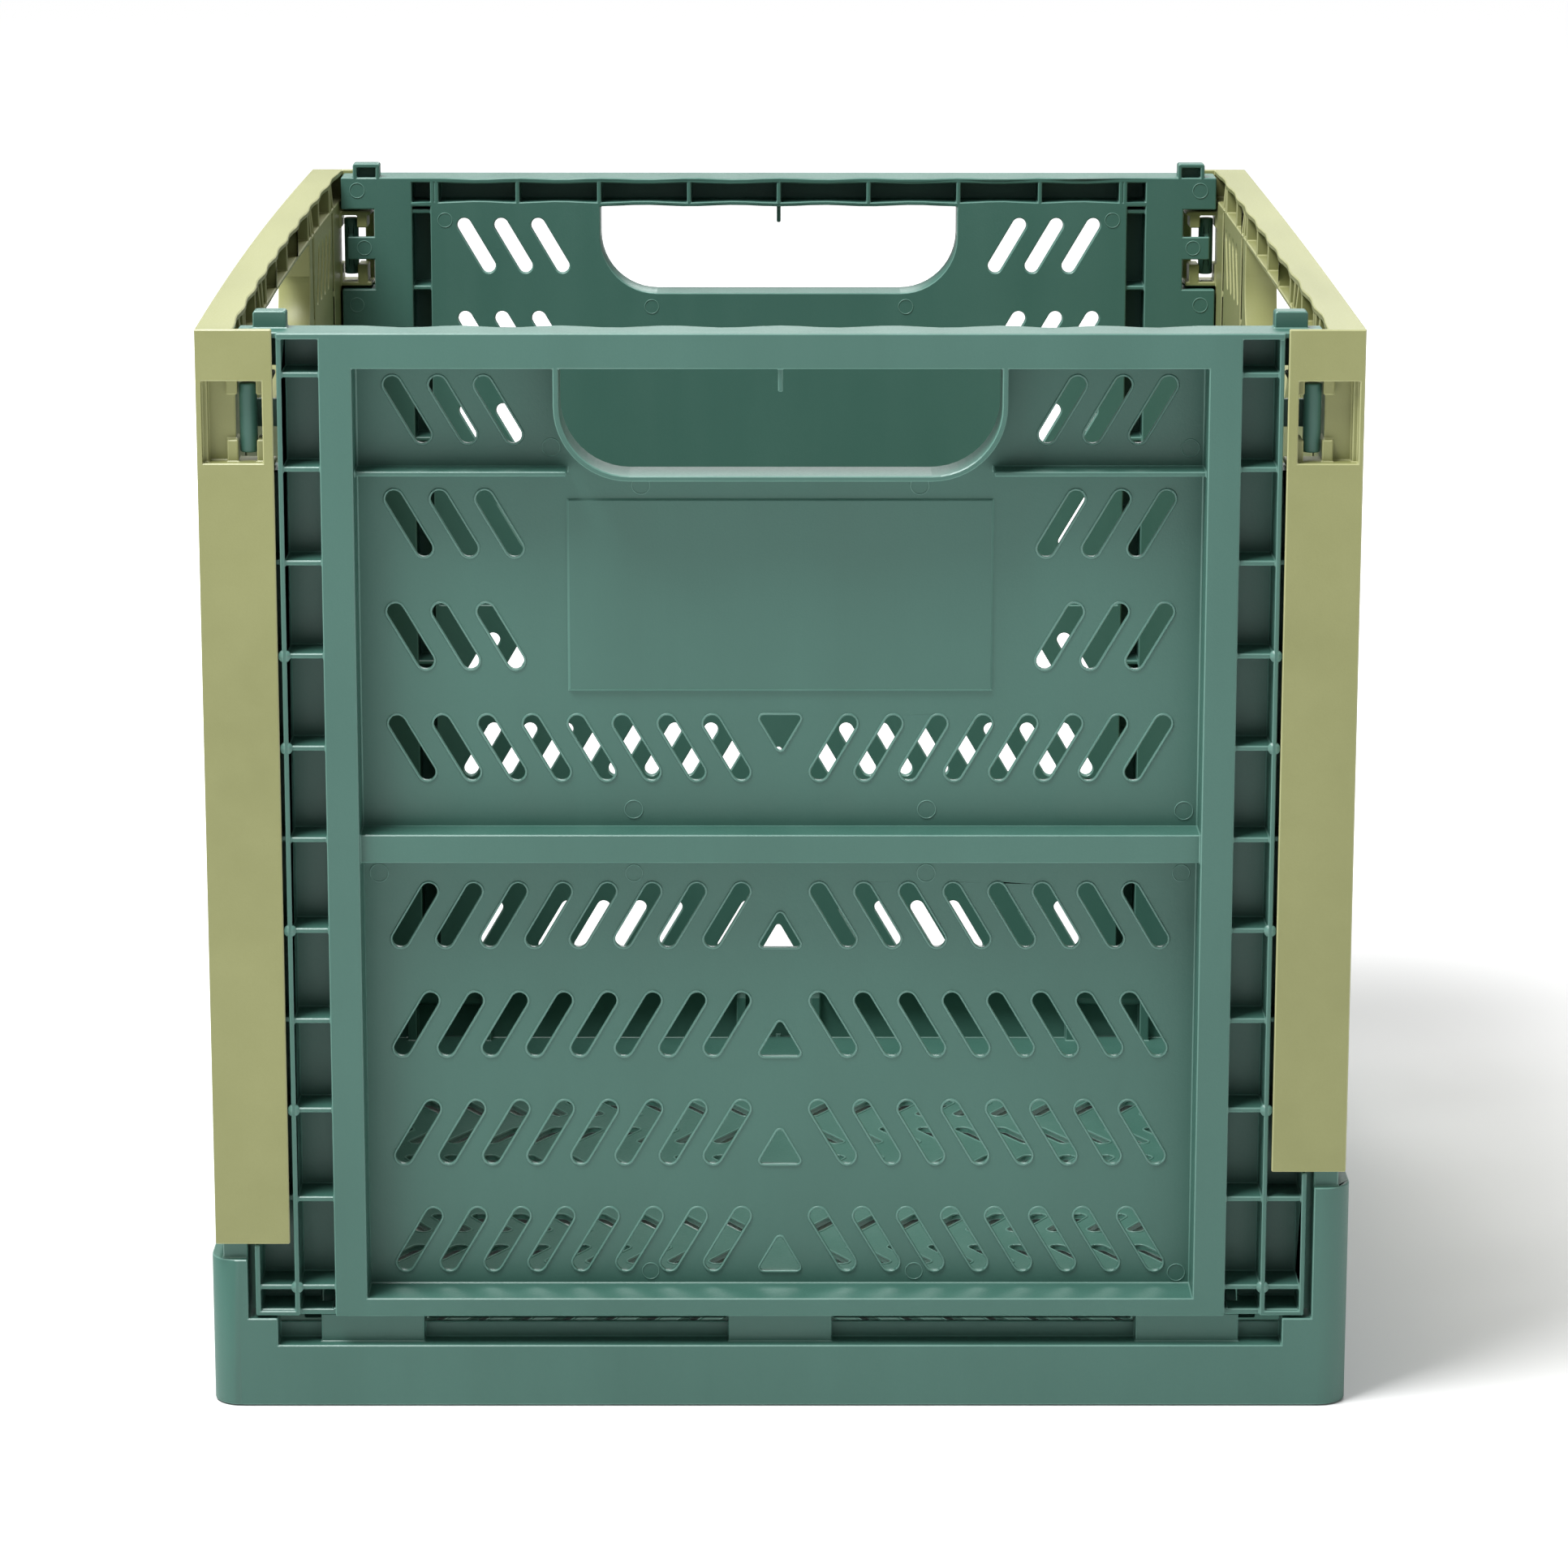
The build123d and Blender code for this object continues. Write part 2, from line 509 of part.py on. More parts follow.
# ---- base tray -----------------------------------------------------------------------------------
def base_shell():
    """The outer form of the tray: low end rims, stepped corners and tall side rims."""
    tallest = RIGHT_SIDE_BOTTOM - RIDGE_GAP
    shell = extrude(RectangleRounded(BASE_WIDTH, BASE_LENGTH, BASE_CORNER), amount=tallest)
    half = BASE_LENGTH / 2
    outside = half + 1
    shell -= block(-POST_INNER, POST_INNER, -half + RIM_DEPTH, half - RIM_DEPTH, FLOOR_TOP, tallest + 1)
    shell -= block(-POST_INNER, POST_INNER, -outside, outside, STEP_TOP, tallest + 1)
    shell -= block(-STEP_X, STEP_X, -outside, outside, RIM_TOP, tallest + 1)
    edge = BASE_WIDTH / 2 + 1
    for side, low in ((-1, LEFT_SIDE_BOTTOM), (1, RIGHT_SIDE_BOTTOM)):
        post_top = low - POST_DROP
        shell -= block(side * RIDGE_OUTER, side * edge, -outside, outside, post_top, tallest + 1)
        shell -= block(side * (POST_INNER - 1), side * edge, -outside, outside, low - RIDGE_GAP, tallest + 1)
        for end in (-1, 1):
            y = half - RIDGE_SETBACK
            shell -= block(side * (POST_INNER - 1), side * edge, end * y, end * outside, post_top, tallest + 1)
    return shell


def base_hollows():
    """Spaces inside the rims, open at the underside, between their stiffening ribs."""
    hollows = []
    half = BASE_LENGTH / 2
    for end in (-1, 1):
        for bay in range(-4, 4):
            x0 = bay * 39.0 + RIB / 2
            x1 = x0 + 39.0 - RIB
            hollows.append(block(x0, x1, end * (half - SKIN), end * (half - RIM_DEPTH + SKIN), -1, RIM_TOP - SKIN))
    length = 2 * (half - RIM_DEPTH)
    pitch = length / 8
    for side, low in ((-1, LEFT_SIDE_BOTTOM), (1, RIGHT_SIDE_BOTTOM)):
        for bay in range(8):
            y0 = -length / 2 + bay * pitch + RIB / 2
            y1 = y0 + pitch - RIB
            outer_x = side * (BASE_WIDTH / 2 - SKIN)
            inner_x = side * (POST_INNER + SKIN)
            hollows.append(block(inner_x, outer_x, y0, y1, -1, low - POST_DROP - SKIN - 4))
    return hollows


def base_floor_holes():
    """Slanted drain slots in the tray's floor, in mirrored rows."""
    holes = []
    for row in range(-4, 5):
        lean = SLOT_LEAN if row % 2 else -SLOT_LEAN
        for number in range(10):
            x = SLOT_FIRST + number * SLOT_PITCH
            holes.append(slot_hole(x, row * ROW_PITCH, lean))
            holes.append(slot_hole(-x, row * ROW_PITCH, -lean))
    return holes


def base_floor():
    """The pierced floor plate with shallow crossing ribs under it."""
    half_x = POST_INNER + SKIN / 2
    half_y = BASE_LENGTH / 2 - RIM_DEPTH + SKIN / 2
    outline = Rectangle(2 * half_x, 2 * half_y)
    plate = Pos(0, 0, FLOOR_TOP - FLOOR_THICK) * extrude(pierced(outline, base_floor_holes()), amount=FLOOR_THICK)
    ribs = []
    for row in range(-5, 5):
        y = (row + 0.5) * ROW_PITCH
        ribs.append(block(-half_x, half_x, y - RIB / 2, y + RIB / 2, 0, FLOOR_TOP - 1))
    ribs += both_sides(159.0, 159.0 + RIB, -half_y, half_y, 0, FLOOR_TOP - 1)
    ribs.append(block(-RIB / 2, RIB / 2, -half_y, half_y, 0, FLOOR_TOP - 1))
    return plate + ribs


def rim_lips():
    """Low walls on the inner edge of both end rims, between the hinge blocks."""
    lips = []
    near, far = RIM_DEPTH - SKIN, RIM_DEPTH
    gaps = ((BLOCK_HALF - 1, HINGE_PLACES[2] - BLOCK_HALF + 1), (HINGE_PLACES[2] + BLOCK_HALF - 1, STEP_X + 1))
    for end in (-1, 1):
        y0, y1 = end * (BASE_LENGTH / 2 - near), end * (BASE_LENGTH / 2 - far)
        for x0, x1 in gaps:
            lips += both_sides(x0, x1, y0, y1, RIM_TOP - SKIN, LIP_TOP)
    return lips


def cheek_profile(points, x0, x1):
    """A hinge cheek: an outline of depth and height, made a plate from x0 to x1."""
    outline = Plane.YZ * Polygon(*points, align=None)
    return Pos(x0, 0, 0) * extrude(outline, amount=x1 - x0)


def hinge_block(x, axis_depth, axis_z, cheek_points, eye_radius):
    """A hinge block: a front plate and two cheeks with round eyes for an end wall's pin."""
    left, right = x - BLOCK_HALF, x + BLOCK_HALF
    piece = block(left, right, BLOCK_FACE, BLOCK_FACE + SKIN, FLOOR_TOP - 1, BLOCK_TOP)
    for x0, x1 in ((left, left + CHEEK), (right - CHEEK, right)):
        piece += cheek_profile(cheek_points, x0, x1)
        piece += rod_across((x0 + x1) / 2, axis_depth, axis_z, eye_radius, CHEEK / 2)
    return piece


def hinge_sockets():
    """Round sockets for the end walls' pins, through the cheeks and whatever backs them."""
    half = BASE_LENGTH / 2
    front_y = FRONT_AXIS_DEPTH - half
    back_y = half - BACK_AXIS_DEPTH
    sockets = []
    for x in HINGE_PLACES:
        sockets.append(rod_across(x, front_y, FRONT_AXIS_Z, FRONT_PIN_RADIUS + PIN_CLEARANCE, SOCKET_HALF))
        sockets.append(rod_across(x, back_y, BACK_AXIS_Z, BACK_PIN_RADIUS + PIN_CLEARANCE, SOCKET_HALF))
    return sockets


def front_blocks():
    """Blocks whose sockets sit high, inside notches of the front wall's foot."""
    points = [
        (BLOCK_FACE, FLOOR_TOP - 1), (19.0, FLOOR_TOP - 1), (19.0, FRONT_AXIS_Z),
        (13.0, FRONT_AXIS_Z), (13.0, BLOCK_TOP), (BLOCK_FACE, BLOCK_TOP),
    ]
    place = Pos(0, -BASE_LENGTH / 2, 0)
    return [
        place * hinge_block(x, FRONT_AXIS_DEPTH, FRONT_AXIS_Z, points, FRONT_EYE_RADIUS)
        for x in HINGE_PLACES
    ]


def back_blocks():
    """Blocks whose sockets sit low, so that the back wall lies directly on the floor side."""
    points = [
        (BLOCK_FACE, FLOOR_TOP - 1), (15.0, FLOOR_TOP - 1), (15.0, 20.0),
        (12.0, 26.0), (BACK_AXIS_DEPTH, BLOCK_TOP), (BLOCK_FACE, BLOCK_TOP),
    ]
    place = Pos(0, BASE_LENGTH / 2, 0) * Rot(0, 0, 180)
    return [
        place * hinge_block(x, BACK_AXIS_DEPTH, BACK_AXIS_Z, points, BACK_EYE_RADIUS)
        for x in HINGE_PLACES
    ]


def side_hinge_pockets():
    """Pockets and sockets in the tops of the side rims for the side walls' pins."""
    cuts = []
    for side, low in ((-1, LEFT_SIDE_BOTTOM), (1, RIGHT_SIDE_BOTTOM)):
        axis_z = low - SIDE_AXIS_DROP
        x_in = side * (SIDE_AXIS_X - 2.0)
        x_out = side * (SIDE_AXIS_X + 2.0)
        for y in SIDE_HINGE_PLACES:
            cuts.append(block(x_in, x_out, y - SIDE_POCKET_HALF, y + SIDE_POCKET_HALF, axis_z - 2.2, low + 1))
            socket = Cylinder(SIDE_PIN_RADIUS + PIN_CLEARANCE, 2 * SIDE_PIN_HALF + 0.4)
            cuts.append(Pos(side * SIDE_AXIS_X, y, axis_z) * Rot(90, 0, 0) * socket)
    return cuts


def base_tray():
    """The base: rims, floor grille, hinge blocks and sockets in one moulding."""
    half = BASE_LENGTH / 2
    well = block(-POST_INNER, POST_INNER, RIM_DEPTH - half, half - RIM_DEPTH, -1, FLOOR_TOP + 1)
    cuts = [well] + base_hollows() + side_hinge_pockets()
    pocket = BLOCK_HALF - CHEEK
    for x in HINGE_PLACES:
        for end in (-1, 1):
            outer = end * (half - BLOCK_FACE - SKIN)
            inner = end * (half - RIM_DEPTH - 1)
            cuts.append(block(x - pocket, x + pocket, outer, inner, FLOOR_TOP, BLOCK_TOP))
    rims = base_shell() - cuts
    rims += rim_lips() + front_blocks() + back_blocks()
    rims -= hinge_sockets()
    return rims + base_floor()


def placed_end(wall, is_front):
    """An end wall moved from its own depth axis to its end of the crate."""
    if is_front:
        return Pos(0, -BASE_LENGTH / 2, 0) * wall
    return Pos(0, BASE_LENGTH / 2, 0) * Rot(0, 0, 180) * wall


def placed_side(wall, is_left):
    """A side wall turned so that its length runs along Y."""
    if is_left:
        return Pos(-RIM_WIDTH / 2, 0, 0) * Rot(0, 0, -90) * wall
    return Pos(RIM_WIDTH / 2, 0, 0) * Rot(0, 0, 90) * wall


def main():
    os.makedirs("parts", exist_ok=True)
    nodes = {
        "base_tray": base_tray(),
        "end_wall_front": placed_end(front_end_wall(), True),
        "end_wall_back": placed_end(back_end_wall(), False),
        "side_wall_left": placed_side(side_wall(LEFT_SIDE_BOTTOM), True),
        "side_wall_right": placed_side(side_wall(RIGHT_SIDE_BOTTOM), False),
    }
    for name, shape in nodes.items():
        solids = shape.solids()
        export_step(shape.solid() if len(solids) == 1 else shape, f"parts/{name}.step")
        box = shape.bounding_box()
        print(name, len(solids), "solid(s)", [round(v, 1) for v in (*box.min, *box.max)])


main()
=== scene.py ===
# %% [markdown]
# # A collapsible storage crate
# A folding crate is five injection mouldings that clip into each other: a base tray,
# two teal end walls and two olive side walls. Everything else that the eye finds on
# it, such as ribs, pins, latch rods and label plates, grew in one of those five
# moulds. The CAD frame already has their shapes, so this lesson is about what makes
# a plain solid look moulded: rounded edges, raised lips round the openings, marks
# left by the ejector pins, walls that sank and bowed a little as they cooled, and a
# satin plastic that isn't quite one colour.

# %% Load the crate's frame
import math

import bmesh
import bpy
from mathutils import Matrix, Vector


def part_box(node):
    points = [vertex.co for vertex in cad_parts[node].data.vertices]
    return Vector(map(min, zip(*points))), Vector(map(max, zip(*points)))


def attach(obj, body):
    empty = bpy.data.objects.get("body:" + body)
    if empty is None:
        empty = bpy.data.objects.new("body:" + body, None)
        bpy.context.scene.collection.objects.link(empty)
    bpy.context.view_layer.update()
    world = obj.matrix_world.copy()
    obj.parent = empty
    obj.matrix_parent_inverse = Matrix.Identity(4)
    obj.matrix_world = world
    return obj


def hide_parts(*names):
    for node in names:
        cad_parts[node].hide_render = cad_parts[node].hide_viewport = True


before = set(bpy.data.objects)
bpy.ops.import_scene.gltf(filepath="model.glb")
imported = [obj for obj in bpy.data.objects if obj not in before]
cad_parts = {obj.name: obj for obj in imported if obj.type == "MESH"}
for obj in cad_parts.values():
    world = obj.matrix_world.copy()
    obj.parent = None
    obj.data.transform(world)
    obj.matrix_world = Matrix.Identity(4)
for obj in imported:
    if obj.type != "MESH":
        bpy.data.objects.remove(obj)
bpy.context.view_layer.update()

MM = 0.001

# %% [markdown]
# ## A small language for nodes
# Materials and Geometry Nodes are both graphs. Wiring them by hand in Python is hard
# to read, so one class wraps an output socket. Arithmetic on it adds Math nodes, and
# a single method makes any other node from its type, its settings and its sockets.

# %% Signal: one output socket that can be used in sums
class Signal:
    """An output socket of a node tree, or just the tree when it has no socket."""

    def __init__(self, tree, socket=None):
        self.tree = tree
        self.socket = socket

    def node(self, kind, settings=None, sockets=None, take=0):
        """Add a node. Settings are made first, then its sockets get values or links."""
        made = self.tree.nodes.new(kind)
        for name, value in (settings or {}).items():
            setattr(made, name, value)
        for name, value in (sockets or {}).items():
            if isinstance(value, Signal):
                self.tree.links.new(value.socket, made.inputs[name])
            else:
                made.inputs[name].default_value = value
        return Signal(self.tree, made.outputs[take] if len(made.outputs) else None)

    def maths(self, operation, first, second):
        return self.node("ShaderNodeMath", {"operation": operation}, {0: first, 1: second})

    def __add__(self, other):
        return self.maths("ADD", self, other)

    def __sub__(self, other):
        return self.maths("SUBTRACT", self, other)

    def __rsub__(self, other):
        return self.maths("SUBTRACT", other, self)

    def __mul__(self, other):
        return self.maths("MULTIPLY", self, other)

    __radd__ = __add__
    __rmul__ = __mul__


print("Signal is ready for", len(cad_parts), "mouldings")

# %% [markdown]
# ## Satin polypropylene
# The real plastic is polypropylene coloured in the mass. Its colour drifts slightly
# where the melt folded, it shows faint streaks along the way it flowed, and its
# surface is a fine satin from the spark-eroded steel of the mould. A glossy, even
# shader would look like toy plastic, so the colour, the roughness and the bump all
# follow the same noise: cloudy drift, long streaks and a fine grain. The noise reads
# Object coordinates, because every piece keeps its place in its mesh.

# %% The plastic's shader
def mixed_colour(mask, first, second):
    """Blend two colours by a mask between 0 and 1."""
    sockets = {0: mask, 6: first, 7: second}
    return mask.node("ShaderNodeMix", {"data_type": "RGBA"}, sockets, take=2)


def noise(place, scale, detail):
    """Fractal noise, between about 0.2 and 0.8."""
    sockets = {"Vector": place, "Scale": scale, "Detail": detail}
    return place.node("ShaderNodeTexNoise", None, sockets)


def spread(mask, low, high):
    """Stretch a narrow range of a mask to the whole of 0 to 1."""
    sockets = {"Value": mask, "From Min": low, "From Max": high}
    return mask.node("ShaderNodeMapRange", {"clamp": True}, sockets)


def satin_plastic(name, deep, body, pale, roughness, flow):
    """A moulded plastic; `flow` stretches its streaks along the way the melt ran."""
    material = bpy.data.materials.new(name)
    material.use_nodes = True
    tree = material.node_tree
    tree.nodes.clear()
    sheet = Signal(tree)
    place = sheet.node("ShaderNodeTexCoord", take="Object")
    along = sheet.node("ShaderNodeMapping", None, {"Vector": place, "Scale": flow})
    drift = spread(noise(place, 11.0, 3.0), 0.32, 0.68)
    streak = spread(noise(along, 1.0, 4.0), 0.35, 0.7)
    grain = noise(place, 1500.0, 2.0)
    cloudy = mixed_colour(drift, (*deep, 1), (*body, 1))
    colour = mixed_colour(streak * 0.35, cloudy, (*pale, 1))
    speckled = mixed_colour(spread(grain, 0.3, 0.75) * 0.16, colour, (*deep, 1))
    rough = (streak - 0.5) * 0.1 + (grain - 0.5) * 0.16 + roughness
    height = grain * 0.5 + streak * 0.8 + drift * 1.5
    sockets = {"Strength": 0.12, "Distance": 0.0006, "Height": height}
    relief = sheet.node("ShaderNodeBump", None, sockets)
    values = {"Base Color": speckled, "Roughness": rough, "Normal": relief, "IOR": 1.49}
    shader = sheet.node("ShaderNodeBsdfPrincipled", None, values)
    sheet.node("ShaderNodeOutputMaterial", None, {"Surface": shader})
    return material


FLOW_UP = (60.0, 60.0, 5.0)
FLOW_ALONG = (60.0, 4.0, 60.0)
TEAL = ((0.046, 0.134, 0.106), (0.055, 0.153, 0.122), (0.072, 0.178, 0.146))
OLIVE = ((0.245, 0.256, 0.098), (0.280, 0.292, 0.115), (0.325, 0.335, 0.150))
teal_plastic = satin_plastic("teal_plastic", *TEAL, 0.45, FLOW_UP)
olive_plastic = satin_plastic("olive_plastic", *OLIVE, 0.46, FLOW_ALONG)
print("plastics:", teal_plastic.name, "and", olive_plastic.name)

# %% [markdown]
# ## Edges with a painted highlight
# The corners of a moulding are slightly rounded, and in the light they read as thin
# pale lines. That highlight is painted here. The Bevel modifier can give the strips it
# makes a material of their own, so the edge finish is the same plastic with paler
# colours, a painted highlight, and a little less roughness.

# %% The edges' painted highlight
# Paler copies of the two plastics: a painted highlight for rounded edges and moulded marks.
TEAL_HIGHLIGHT = ((0.095, 0.215, 0.178), (0.120, 0.250, 0.210), (0.155, 0.290, 0.248))
OLIVE_HIGHLIGHT = ((0.350, 0.360, 0.170), (0.395, 0.405, 0.200), (0.440, 0.450, 0.240))
teal_highlight_finish = satin_plastic("teal_painted_highlight", *TEAL_HIGHLIGHT, 0.36, FLOW_UP)
olive_highlight_finish = satin_plastic("olive_painted_highlight", *OLIVE_HIGHLIGHT, 0.38, FLOW_ALONG)
print("edges:", teal_highlight_finish.name, "and", olive_highlight_finish.name)

# %% [markdown]
# ## From a CAD solid to a moulding
# The CAD mesh is loose triangles. Merging them back into flat faces gives clean
# edges, and those can be rounded. Rounding could be faked in the shader, but then the
# exported mesh would still have knife edges, so a real bevel is used. Before that,
# two faults of real mouldings are added. A thin lip sinks between the ribs behind
# it, and a long free wall bows outwards in the middle.

# %% Merge the CAD triangles into flat faces
FLAT = math.radians(0.6)
SAME_POINT = 1e-6


def flat_faces(node):
    """The CAD node's shape as a bmesh of large flat faces."""
    shape = bmesh.new()
    shape.from_mesh(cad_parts[node].data)
    bmesh.ops.remove_doubles(shape, verts=shape.verts, dist=SAME_POINT)
    bmesh.ops.dissolve_limit(shape, angle_limit=FLAT, verts=shape.verts, edges=shape.edges)
    print(node, "has", len(shape.faces), "flat faces")
    return shape


def slice_region(shape, axis, places, wanted):
    """Cut the faces that `wanted` picks, across an axis, so that they can bend."""
    normal = Vector((0, 0, 0))
    normal[axis] = 1
    for place in places:
        faces = [f for f in shape.faces if wanted(f.calc_center_median())]
        edges = {e for f in faces for e in f.edges}
        verts = {v for f in faces for v in f.verts}
        geometry = [*faces, *edges, *verts]
        cut = {"plane_co": normal * place, "plane_no": normal, "dist": SAME_POINT}
        bmesh.ops.bisect_plane(shape, geom=geometry, **cut)


# %% [markdown]
# ## Sink between ribs, and bow
# Both faults are written as rules, so that the lips and marks added later can follow
# the same walls. The sink is deepest halfway between two ribs. The bow is nothing at
# the corners and at the base, where the wall is held, and largest at the middle of
# the free top edge.

# %% Rules for the sink and the bow
END_RIBS = [s * x * MM for x in (0, 33.4, 66.9, 97.3, 127.5) for s in (-1, 1)]
SIDE_RIB_PITCH = 40.4 * MM
BOWS = {"side_wall_left": 2.2 * MM, "side_wall_right": 0.9 * MM}
BOXES = {node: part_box(node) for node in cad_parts}


def between_ribs(place, ribs):
    """0 at a rib, 1 halfway between two of them, and 0 beyond the last."""
    below = [r for r in ribs if r <= place]
    above = [r for r in ribs if r > place]
    if not below or not above:
        return 0.0
    low, high = max(below), min(above)
    return math.sin(math.pi * (place - low) / (high - low)) ** 2


def bowed(node, point):
    """A point of a side wall, moved outwards by the wall's bow."""
    low, high = BOXES[node]
    side = -1 if node == "side_wall_left" else 1
    along = 1 - (point.y / high.y) ** 2
    up = max(0.0, (point.z - low.z) / (high.z - low.z))
    return Vector((point.x + side * BOWS[node] * along * up, point.y, point.z))


def sink_end_lip(shape, node):
    """The two thin lips along the top bar's open side sink towards each other."""
    low, high = BOXES[node]
    inner = high.y if node == "end_wall_front" else low.y
    outwards = -1 if node == "end_wall_front" else 1
    top, under = 336.8 * MM, 326.1 * MM
    for vertex in shape.verts:
        at = vertex.co
        if abs(at.y - inner) > 0.4 * MM or at.z < under - 0.1 * MM:
            continue
        sink = between_ribs(at.x, sorted(set(END_RIBS)))
        if at.z > top - 2 * MM:
            vertex.co.z -= 0.55 * MM * sink
        elif at.z < under + 1.7 * MM:
            vertex.co.z += 0.5 * MM * sink
        vertex.co.y += outwards * 0.5 * MM * sink


def sink_side_lip(shape, node):
    """The top lip's open edge draws back between the ribs; then the whole wall bows."""
    edge = 163.6 * MM
    ribs = [n * SIDE_RIB_PITCH for n in range(-5, 6)]
    for vertex in shape.verts:
        at = vertex.co
        if at.z > 336 * MM and abs(abs(at.x) - edge) < 0.3 * MM:
            vertex.co.x += math.copysign(0.9 * MM * between_ribs(at.y, ribs), at.x)
        vertex.co = bowed(node, vertex.co)


print("rules for sink and bow are set;", len(BOWS), "walls bow")

# %% [markdown]
# ## Finish a moulding
# The bevel is narrow, about the radius a toolmaker leaves on a mould's edges. It acts
# only where two faces meet at a real corner, so the sliced flat faces stay flat. The
# copy stands for its CAD node and moves with the same body.

# %% Make the five mouldings
EDGE_RADIUS = 0.35 * MM
BEVEL_ANGLE = math.radians(38)


def as_piece(name, mesh, finishes, body):
    """A finished object at the origin that rides on a body and has a finish slot."""
    piece = bpy.data.objects.new(name, mesh)
    bpy.context.scene.collection.objects.link(piece)
    if not mesh.materials:
        for finish in finishes:
            mesh.materials.append(finish)
    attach(piece, body)
    return piece


def moulding(name, node, body, finishes, bend=None):
    """A rounded copy of a CAD node that replaces it."""
    shape = flat_faces(node)
    if bend:
        bend(shape, node)
    mesh = bpy.data.meshes.new(name)
    shape.to_mesh(mesh)
    shape.free()
    piece = as_piece(name, mesh, finishes, body)
    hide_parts(node)
    bevel = piece.modifiers.new("rounded edges", "BEVEL")
    bevel.limit_method = "ANGLE"
    bevel.angle_limit = BEVEL_ANGLE
    bevel.width = EDGE_RADIUS
    bevel.segments = 1
    bevel.use_clamp_overlap = False
    # The bevel strips take the second, paler material: a painted highlight along every rounded edge.
    bevel.material = 1
    return piece


def bend_end(shape, node):
    cuts = [x * MM for x in range(-126, 127, 6)]
    slice_region(shape, 0, cuts, lambda at: at.z > 325 * MM)
    sink_end_lip(shape, node)


def bend_side(shape, node):
    cuts = [y * MM for y in range(-204, 205, 8)]
    slice_region(shape, 1, cuts, lambda at: True)
    sink_side_lip(shape, node)


# Each pair is a plastic and its paler copy, which paints a highlight on the bevelled edges.
TEAL_FINISH = (teal_plastic, teal_highlight_finish)
OLIVE_FINISH = (olive_plastic, olive_highlight_finish)
moulding("tray_moulding", "base_tray", "base", TEAL_FINISH)
moulding("front_end_moulding", "end_wall_front", "front_end", TEAL_FINISH, bend_end)
moulding("back_end_moulding", "end_wall_back", "back_end", TEAL_FINISH, bend_end)
moulding("left_side_moulding", "side_wall_left", "base", OLIVE_FINISH, bend_side)
moulding("right_side_moulding", "side_wall_right", "base", OLIVE_FINISH, bend_side)

# %% [markdown]
# ## Lips, ejector marks and bosses
# Each opening in a moulded panel has a slightly raised lip where the steel core met
# the other half of the mould. Pins that pushed the part out left fine rings on the
# flat faces, and small round bosses where ribs cross. All of them repeat, so a
# Geometry Nodes tree puts them on points. A point says what it carries and how it is
# turned, and the tree has named inputs for every size. It ends in Realize Instances
# and Set Material, because an export keeps real geometry only.

# %% The tree's inputs
SLOT, TRIANGLE, RING, BOSS = range(4)
SIZES = {
    "Slot Length": 23.5 * MM,
    "Slot Width": 5.9 * MM,
    "Triangle Side": 15.1 * MM,
    "Triangle Round": 1.4 * MM,
    "Lip Radius": 0.4 * MM,
    "Ring Radius": 2.7 * MM,
    "Ring Line": 0.19 * MM,
    "Boss Radius": 1.9 * MM,
    "Boss Height": 1.8 * MM,
}


def marks_tree():
    """A tree that grows lips, rings and bosses on marked points."""
    tree = bpy.data.node_groups.new("moulded_marks", "GeometryNodeTree")
    face = tree.interface
    face.new_socket("Geometry", in_out="INPUT", socket_type="NodeSocketGeometry")
    for name in SIZES:
        face.new_socket(name, in_out="INPUT", socket_type="NodeSocketFloat")
    face.new_socket("Seed", in_out="INPUT", socket_type="NodeSocketInt")
    # Finish: the marks' material; the script gives it the paler plastic, a painted highlight.
    face.new_socket("Finish", in_out="INPUT", socket_type="NodeSocketMaterial")
    face.new_socket("Geometry", in_out="OUTPUT", socket_type="NodeSocketGeometry")
    return tree


marks = marks_tree()
print("tree inputs:", [item.name for item in marks.interface.items_tree if item.in_out == "INPUT"])

# %% Shapes that the tree repeats
start = Signal(marks)
given = marks.nodes.new("NodeGroupInput")


def asked(name):
    """One of the tree's named inputs."""
    return Signal(marks, given.outputs[name])


def lip_along(outline, radius, sides=6):
    """A thin round bead along a closed outline."""
    sockets = {"Resolution": sides, "Radius": radius}
    profile = start.node("GeometryNodeCurvePrimitiveCircle", None, sockets)
    return start.node("GeometryNodeCurveToMesh", None, {"Curve": outline, "Profile Curve": profile})


def rounded(outline, radius, count):
    sockets = {"Curve": outline, "Count": count, "Radius": radius}
    return start.node("GeometryNodeFilletCurve", {"mode": "POLY"}, sockets)


box_sockets = {"Width": asked("Slot Width"), "Height": asked("Slot Length")}
slot_box = start.node("GeometryNodeCurvePrimitiveQuadrilateral", None, box_sockets)
slot_lip = lip_along(rounded(slot_box, asked("Slot Width") * 0.499, 6), asked("Lip Radius"))
three = {"Resolution": 3, "Radius": asked("Triangle Side") * 0.57735}
sideways = start.node("GeometryNodeCurvePrimitiveCircle", None, three)
triangle = start.node("GeometryNodeTransform", None, {"Geometry": sideways, "Rotation": (0, 0, math.pi / 2)})
triangle_lip = lip_along(rounded(triangle, asked("Triangle Round"), 4), asked("Lip Radius"))
round_sockets = {"Resolution": 36, "Radius": asked("Ring Radius")}
circle = start.node("GeometryNodeCurvePrimitiveCircle", None, round_sockets)
ring = lip_along(circle, asked("Ring Line"), 5)
boss_sockets = {"Vertices": 20, "Radius": asked("Boss Radius"), "Depth": asked("Boss Height")}
boss_post = start.node("GeometryNodeMeshCylinder", None, boss_sockets)
cap_sockets = {
    "Vertices": 20,
    "Radius": asked("Boss Radius") * 0.8,
    "Depth": asked("Boss Height") + 0.3 * MM,
}
boss_cap = start.node("GeometryNodeMeshCylinder", None, cap_sockets)
boss = start.node("GeometryNodeJoinGeometry", None, {"Geometry": boss_post})
marks.links.new(boss_cap.socket, boss.socket.node.inputs["Geometry"])
print("the tree makes", BOSS + 1, "kinds of mark")

